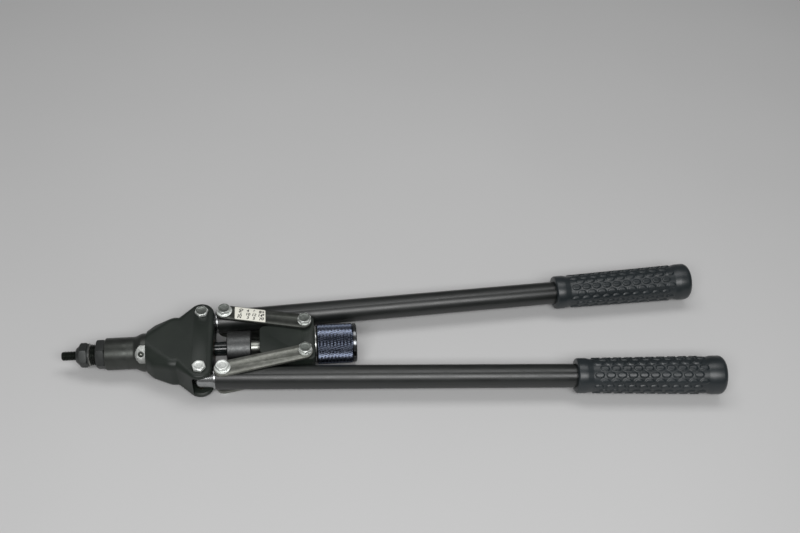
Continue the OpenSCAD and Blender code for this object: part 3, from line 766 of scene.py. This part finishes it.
def mandrel():
    """The threaded stud that holds an insert, and its plain shank inside the nose."""
    front, rear = ends("mandrel")
    shank_r = 3.6
    turns = thread(front, 0, 3.9, pitch=1.25, depth=0.62, front=1.0)
    stud = turned("stud", [(front, 0), *turns, (0.0, shank_r), (rear, shank_r), (rear, 0)], 64)
    smooth(stud, 50)
    stand_for(stud, "mandrel", "black_oxide", OXIDE)


def lock_nut():
    """The CAD's nut, its rounded edges worn and painted lighter as a highlight."""
    ob = softened_copy("lock_nut", 0.3, 28, 1)
    stand_for(ob, "lock_nut", "black_oxide", NOSE, WORN_EDGE_HIGHLIGHT)


def set_screw():
    """The dark screw in the flat, with light steel painted at the bottom of its socket as a reflection."""
    ob = softened_copy("barrel_set_screw", 0.08)
    up = Matrix.Rotation(FLAT_TURN, 4, "X") @ Vector((0, 0, 1))
    # The socket's bottom lies between the screw's lower end and this height.
    bottom = 12.8
    low = min((p.center / MM).dot(up) for p in ob.data.polygons)
    stand_for(ob, "barrel_set_screw", "black_oxide", OXIDE, LINK)
    # The socket's bottom takes light steel: a painted reflection.
    paint(ob, 1, lambda c, n: n.dot(up) > 0.9 and low < c.dot(up) < bottom)


# ---------------------------------------------------------------- spindle

def pull_rod():
    """Bright steel, painted near-black in front of the sleeve as a dark reflection."""
    x0, x1 = ends("pull_rod")
    groove0, groove1 = ends("rod_circlip")
    groove0, groove1, groove_r = groove0 - FIT, groove1 + FIT, ROD_R - 0.6
    bore, bore_l = BOLT_R + FIT, 14
    ob = turned("rod", [
        (x0, 0), (x0, ROD_R - 0.5), (x0 + 0.5, ROD_R), (groove0, ROD_R), (groove0, groove_r),
        (groove1, groove_r), (groove1, ROD_R), (x1 - 0.5, ROD_R), (x1, ROD_R - 0.5),
        (x1, bore), (x1 - bore_l, bore), (x1 - bore_l, 0)], 128)
    soften(ob, 0.08, 30)
    middle = sum(ends("stroke_sleeve")) / 2
    bm = bmesh.new()
    bm.from_mesh(ob.data)
    bmesh.ops.bisect_plane(bm, geom=bm.verts[:] + bm.edges[:] + bm.faces[:], plane_co=(middle * MM, 0, 0),
                           plane_no=(1, 0, 0))
    bm.to_mesh(ob.data)
    bm.free()
    smooth(ob, 30)
    stand_for(ob, "pull_rod", slot_of("pull_rod"), ROD, ROD_DARK_REFLECTION)
    # In front of the sleeve's middle: the painted dark reflection.
    paint(ob, 1, lambda c, n: c.x < middle)


def knurl(x0, x1, steps, around, pitch, start, radius):
    """Stations whose radius follows u and v, which count along two crossed helices."""
    def station(x):
        def at_angle(a):
            u = a / TAU * around + (x - start) / pitch
            v = a / TAU * around - (x - start) / pitch
            return radius(u, v)
        return (x, at_angle)

    return [station(x0 + (x1 - x0) * i / steps) for i in range(steps + 1)]


def sleeve():
    """Finely knurled between two plain ends."""
    x0, x1 = ends("stroke_sleeve")
    r, bore = 14.3, ROD_R + FIT
    around, pitch, depth = 112, 0.82, 0.1

    def radius(u, v):
        return r - depth * (math.cos(TAU * u) * math.cos(TAU * v) * 0.5 + 0.5)

    ob = turned("sleeve", [
        (x0, bore), (x0, r - 0.8), (x0 + 0.25, r - 0.4), (x0 + 0.8, r - 0.05),
        *knurl(x0 + 1.0, x1 - 1.0, 90, around, pitch, 0, radius),
        (x1 - 0.8, r - 0.05), (x1 - 0.25, r - 0.4), (x1, r - 0.8), (x1, bore)], around * 4)
    smooth(ob, 50)
    stand_for(ob, "stroke_sleeve", slot_of("stroke_sleeve"), SLEEVE)


def knob():
    """A diamond knurl, a turned ring behind it and the screw's recess in the rear face."""
    x0, x1 = ends("knurled_knob")
    r, bore, recess_r, screw_r = 16.8, ROD_R + FIT, 6.5, 3.2
    band = x1 - 3.5
    knurl0, knurl1 = x0 + 1.2, band - 0.5
    # Diamonds around and along the knob, the rise of a groove's sides in mm a diamond, and
    # half a groove's width in diamonds. The mesh has whole steps to a diamond.
    around, along, slope, half_w = 66, 5, 1.5, 0.3
    steps_around, steps_along = 8, 16

    def radius(u, v):
        return r + slope * (min(abs(u - round(u)), abs(v - round(v)), half_w) - half_w)

    diamonds = knurl(knurl0, knurl1, steps_along * along, around, (knurl1 - knurl0) / along, knurl0, radius)
    profile = [
        (x0, bore), (x0, r - 1.6), (x0 + 0.2, r - 1.4), (knurl0 - 0.1, r - 0.7), *diamonds,
        (band - 0.2, r - 0.9), (band + 0.1, r - 0.9), (band + 0.4, r - 0.45), (band + 0.7, r - 0.3),
        (band + 2.8, r - 0.34), (band + 3.2, r - 0.6), (x1, r - 1.1), (x1, recess_r + 0.4),
        (x1 - 0.4, recess_r), (x1 - 5, recess_r), (x1 - 5, screw_r), (x1 - 8, screw_r), (x1 - 8, bore)]
    ob = turned("knob", profile, around * steps_around)
    smooth(ob, 22)
    # The knurl's blue tint is a painted reflection.
    stand_for(ob, "knurled_knob", "blued_steel", KNURL_STEEL_BLUE_REFLECTION, DARK_RING, OXIDE)
    paint(ob, 1, lambda c, n: c.x > band + 0.25 and c.yz.length > 10)
    paint(ob, 2, lambda c, n: c.x < knurl0 - 0.05 or (c.x > x1 - 0.6 and c.yz.length < r - 1.2))


# ---------------------------------------------------------------- levers

def lever_matrix(side):
    """Moves what is drawn along +X onto a lever, with the origin at its pivot."""
    s = SIDES[side]
    pivot = JOINT_POS[side + "_lever_hinge"]
    return Matrix.Translation(pivot * MM) @ Matrix.Rotation(s * SPLAY, 4, "Z")


def link_matrix(side):
    """The same for a link, with the origin at its bolt on the lever."""
    s = SIDES[side]
    hinge = JOINT_POS[side + "_link_hinge"]
    return Matrix.Translation(hinge * MM) @ Matrix.Rotation(-s * LINK_SLANT, 4, "Z")


def grip(side):
    """Rubber with 16 rows of oval bumps, each row half a pitch on from its neighbours."""
    x0, x1 = 312.7, 439.2
    r0, r1 = 14.7, 16.4
    rows, pitch, first, count = 16, 9.3, x0 + 12.8, 10
    raised, half_l, half_w = 1.0, 4.1, 2.5
    end_r, bore = 4.5, TUBE_R + FIT
    last = first + (count + 0.5) * pitch
    turn = math.radians({"left": 125.6, "right": 118.0}[side])

    def body(x):
        return r0 + (r1 - r0) * max(0, min(1, (x - x0 - 1.2) / (x1 - end_r - x0 - 1.2)))

    def groove(x):
        return raised * max(0, min(1, (x - first) / 5 + 1, (last - x) / 5 + 1))

    def station(x):
        base = body(x)
        deep = groove(x)

        def radius(a):
            place = (a - turn) / TAU * rows
            row = round(place)
            across = abs(place - row) * TAU / rows * base
            start = first + (pitch / 2 if row % 2 else 0)
            i = math.floor((x - start) / pitch)
            if i < 0 or i >= count:
                return base - deep
            along = abs(x - start - (i + 0.5) * pitch)
            edge = ((across / half_w) ** 5 + ((along + 0.6 * across) / half_l) ** 5) ** 0.2
            t = max(0, min(1, (1.04 - edge) / 0.2))
            top = base - 0.12 * (across / half_w) ** 2
            return base - deep + (top - base + deep) * t * t * (3 - 2 * t)
        return (x, radius)

    zone0, zone1 = first - 5, last + 5
    steps = 240
    field = [station(zone0 + (zone1 - zone0) * i / steps) for i in range(steps + 1)]
    end = [(x1 - end_r + end_r * math.sin(b), r1 - end_r * (1 - math.cos(b)))
           for b in (math.radians(90 * i / 10) for i in range(11))]
    profile = [(x0, bore), (x0, r0 - 1.2), (x0 + 0.35, r0 - 0.5), (x0 + 1.2, r0), *field, *end,
               (x1, 0), (x1 - 4, 0), (x1 - 4, bore)]
    ob = turned("grip", profile, rows * 14, lever_matrix(side))
    smooth(ob, 60)
    stand_for(ob, side + "_grip", "grip_rubber", RUBBER)


# ---------------------------------------------------------------- number plate

# Start along the link, length, width and thickness of the plate, and its skew, because its
# ends lie across the tool and not across the link
PLATE_X, PLATE_L, PLATE_W, PLATE_T = 9.1, 26.6, 13.2, 0.18
PLATE_SKEW = -0.21
PLATE_Z = box("right_link_top")[1].z


def number_plate():
    """A thin plate with round corners, on the right link."""
    corner = 0.9
    x0, x1 = PLATE_X + corner, PLATE_X + PLATE_L - corner
    half = PLATE_W / 2 - corner
    ring = []
    for cx, cy, turn in ((x0, -half, 180), (x1, -half, 270), (x1, half, 0), (x0, half, 90)):
        for k in range(6):
            a = math.radians(turn + 18 * k)
            ring.append((cx + corner * math.cos(a), cy + corner * math.sin(a)))
    low, high = [[(x + PLATE_SKEW * y, y, z) for x, y in ring] for z in (PLATE_Z, PLATE_Z + PLATE_T)]
    ob = soften(prism("plate", low, high), 0.04, 40)
    ob.data.transform(link_matrix("right"))
    stand_for(ob, "right_link_plate", "number_plate", PLATE)


def plate_numbers():
    """Generic numbers: an upright range, three rows of three, and a last column."""
    # Text, place along and across the plate, size, turn in degrees, and material index
    words = [("25-80", 5.0, 0.0, 4.6, 90, 0)]
    for i, row in enumerate((("4", "6", "8"), ("10", "12", "14"), ("3", "5", "7"))):
        for k, word in enumerate(row):
            words.append((word, 11.4 + 5.3 * k, 3.7 - 3.8 * i, 4.0, 0, 1 if i == 2 else 0))
    words += [("16", 24.2, 4.1, 2.6, 0, 0), ("18", 24.2, 1.2, 2.6, 0, 0), ("0", 24.2, -3.4, 4.2, 0, 0)]
    above, boldness = 0.012, 0.13
    bm = bmesh.new()
    for word, x, y, size, turn, pale in words:
        curve = bpy.data.curves.new("word", "FONT")
        curve.body = word
        curve.size = size * MM
        curve.align_x = "CENTER"
        curve.align_y = "CENTER"
        curve.offset = boldness * MM
        letters = new_object("word", curve)
        bpy.context.view_layer.update()
        mesh = bpy.data.meshes.new_from_object(letters.evaluated_get(bpy.context.evaluated_depsgraph_get()))
        for p in mesh.polygons:
            p.material_index = pale
        place = at(PLATE_X + x + PLATE_SKEW * y, y, PLATE_Z + PLATE_T + above)
        mesh.transform(link_matrix("right") @ place @ Matrix.Rotation(math.radians(turn), 4, "Z"))
        bm.from_mesh(mesh)
        bpy.data.objects.remove(letters)
        bpy.data.meshes.remove(mesh)
    mesh = bpy.data.meshes.new("plate_numbers")
    bm.to_mesh(mesh)
    bm.free()
    ob = dress(new_object("plate_numbers", mesh), INK, PALE_INK)
    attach(ob, "right_link")


# ---------------------------------------------------------------- building

head_casting()
barrel()
set_screw()
nose()
mandrel()
lock_nut()
pull_rod()
sleeve()
knob()
for side in SIDES:
    grip(side)
    lever, link = lever_matrix(side), link_matrix(side)
    # The right link bolt and both crosshead bolts get painted shade on their tops; the left link bolt
    # doesn't.
    bolt(side + "_link_bolt", lever @ at(LINK_ARM, 0), math.radians(10), 6.7, side == "right")
    bolt(side + "_crosshead_bolt", link @ at(LINK_L, 0), math.radians(18))
pivot_bolts()
number_plate()
plate_numbers()

# The other pieces keep the CAD's shape. Here are the width of their rounded edges and
# their material.
SOFT = {
    "thrust_washer": (0.3, SATIN), "crosshead": (0.7, CASTING), "head_pivot_nuts": (0.2, ZINC),
    "knob_screw": (0.1, OXIDE), "guide_bush": (0.1, BRONZE), "crosshead_bush": (0.1, BRONZE),
    "mandrel_adapter": (0.1, OXIDE), "rod_circlip": (0.05, SPRING),
}
# The right link takes the darker copy of the link steel, as painted shade.
for side, link in (("left", LINK), ("right", LINK_SHADED)):
    SOFT.update({
        side + "_lever_bar": (0.5, BAR), side + "_lever_bush": (0.1, BRONZE),
        side + "_lever_tube": (0.3, TUBE), side + "_link_nut": (0.2, ZINC),
        side + "_link_top": (0.35, link), side + "_link_bottom": (0.35, link),
        side + "_crosshead_nut": (0.2, ZINC), side + "_spring_washer": (0.2, ZINC),
    })
for node, (width, material) in SOFT.items():
    stand_for(softened_copy(node, width), node, slot_of(node), material)


# ---------------------------------------------------------------- stage, light, camera

def floor():
    bm = bmesh.new()
    bmesh.ops.create_grid(bm, x_segments=2, y_segments=2, size=4)
    mesh = bpy.data.meshes.new("floor")
    bm.to_mesh(mesh)
    bm.free()
    ob = new_object("floor", mesh)
    ob.location.z = cad_box[0].z
    m = Nodes("floor_grey")
    soft = m.noise(3, 2)
    dress(ob, m.set(base_color=m.ramp(soft, (0.3, (0.61, 0.61, 0.61)), (0.7, (0.63, 0.63, 0.63))),
                    roughness=0.9, metallic=0.0))


def area_light(name, place, target, size, power):
    """A rectangular lamp that faces its target."""
    light = bpy.data.lights.new(name, "AREA")
    light.shape = "RECTANGLE"
    light.size, light.size_y = size
    light.energy = power
    ob = new_object(name, light)
    ob.location = place
    ob.rotation_mode = "QUATERNION"
    ob.rotation_quaternion = (Vector(target) - Vector(place)).to_track_quat("-Z", "Y")


def world():
    w = bpy.data.worlds.new("studio")
    bpy.context.scene.world = w
    w.use_nodes = True
    back = w.node_tree.nodes["Background"]
    back.inputs["Color"].default_value = (1, 1, 1, 1)
    back.inputs["Strength"].default_value = 0.14


def camera():
    """Looks at the target from the azimuth and elevation, turned by the roll."""
    azimuth, elevation, roll = math.radians(-7.93), math.radians(46.9), math.radians(-3.5)
    target, distance = Vector((0.2792, 0.0866, 0)), 0.9185
    back = Vector((math.sin(azimuth) * math.cos(elevation), -math.cos(azimuth) * math.cos(elevation),
                   math.sin(elevation)))
    right = Vector((math.cos(azimuth), math.sin(azimuth), 0))
    up = back.cross(right)
    right, up = (math.cos(roll) * right - math.sin(roll) * up, math.sin(roll) * right + math.cos(roll) * up)
    data = bpy.data.cameras.new("camera")
    data.lens = 44.94
    data.sensor_width = 36
    ob = new_object("camera", data)
    matrix = Matrix((right, up, back)).transposed().to_4x4()
    matrix.translation = target + distance * back
    ob.matrix_world = matrix
    bpy.context.scene.camera = ob


floor()
area_light("key", place=(0.22, -0.83, 1.0), target=(0.27, 0, 0), size=(1.3, 0.42), power=11.6)
area_light("top", place=(0.3, 0.33, 1.2), target=(0.25, 0, 0), size=(1.3, 0.5), power=4.7)
world()
camera()
bpy.context.scene.view_settings.view_transform = "Standard"
